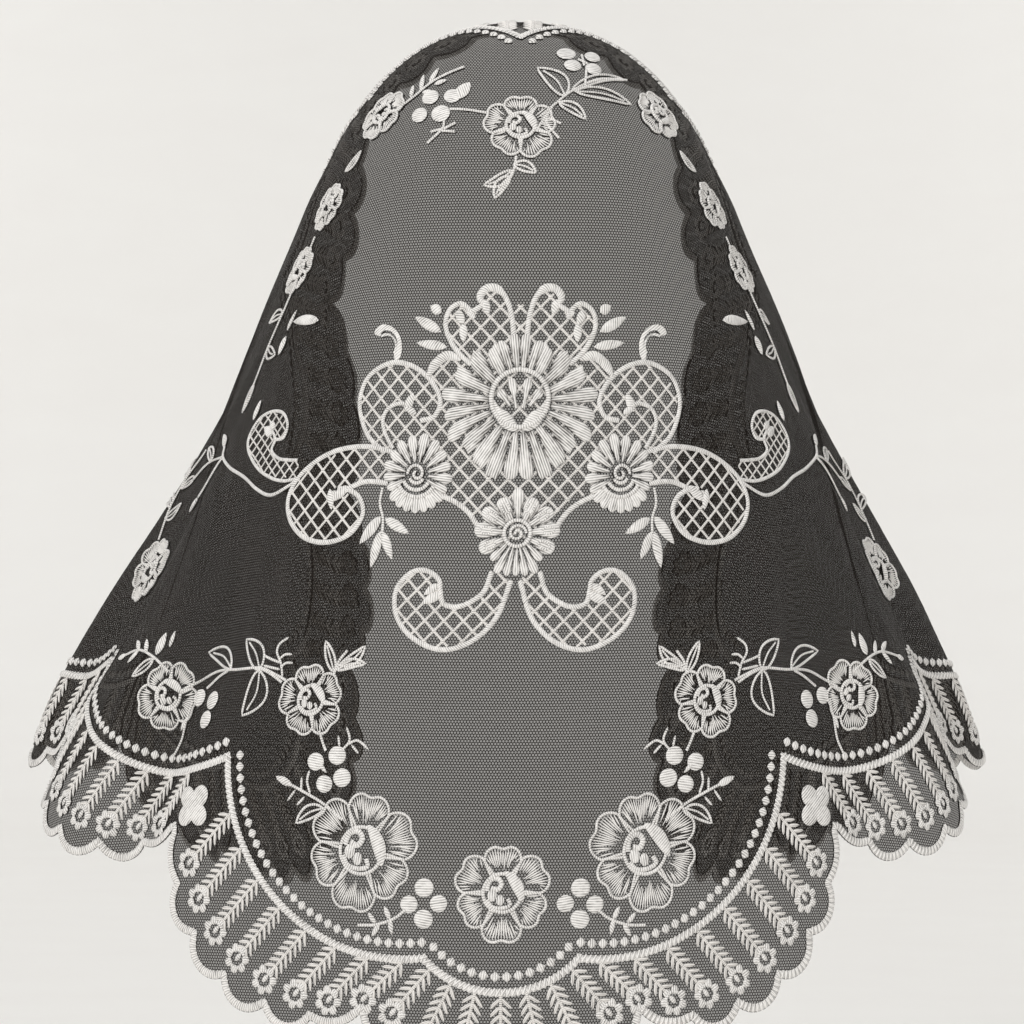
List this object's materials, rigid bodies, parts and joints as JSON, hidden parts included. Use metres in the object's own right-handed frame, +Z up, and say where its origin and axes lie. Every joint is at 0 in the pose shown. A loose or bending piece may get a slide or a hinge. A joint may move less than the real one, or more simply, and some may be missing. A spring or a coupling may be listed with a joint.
{
  "type": "mantilla veil",
  "caption": "Worn tulle veil with an embroidered medallion, rose garlands and a scalloped border, draped over head and shoulders and open at the front.",
  "frame": {"origin": "the cloth at the top of the crown, where the veil rests on a head", "axes": "+Z up, the back of the veil faces -Y, the open front faces +Y, +X to the right seen from behind"},
  "size_m": [0.4735, 0.2425, 0.5087],
  "materials": {
    "tulle": "fine black hexagonal net, matt",
    "satin_thread": "silver-white embroidery thread with a soft satin sheen"
  },
  "bodies": {
    "root": {"veil_net": "tulle", "hem_cord": "satin_thread", "border_rib": "satin_thread", "main_bloom": "satin_thread", "base_rosette": "satin_thread", "side_rosette_left": "satin_thread", "side_rosette_right": "satin_thread", "crown_rose": "satin_thread", "crown_side_rose_left": "satin_thread", "crown_side_rose_right": "satin_thread", "garland_rose_left": "satin_thread", "garland_rose_right": "satin_thread", "hem_rose_left": "satin_thread", "hem_rose_right": "satin_thread", "centre_rose": "satin_thread", "shoulder_rose_left": "satin_thread", "shoulder_rose_right": "satin_thread", "clover_left": "satin_thread", "clover_right": "satin_thread", "crest_scroll_left": "satin_thread", "crest_scroll_right": "satin_thread", "upper_scroll_left": "satin_thread", "upper_scroll_right": "satin_thread", "side_scroll_left": "satin_thread", "side_scroll_right": "satin_thread", "lower_scroll_left": "satin_thread", "lower_scroll_right": "satin_thread"}
  },
  "joints": []
}
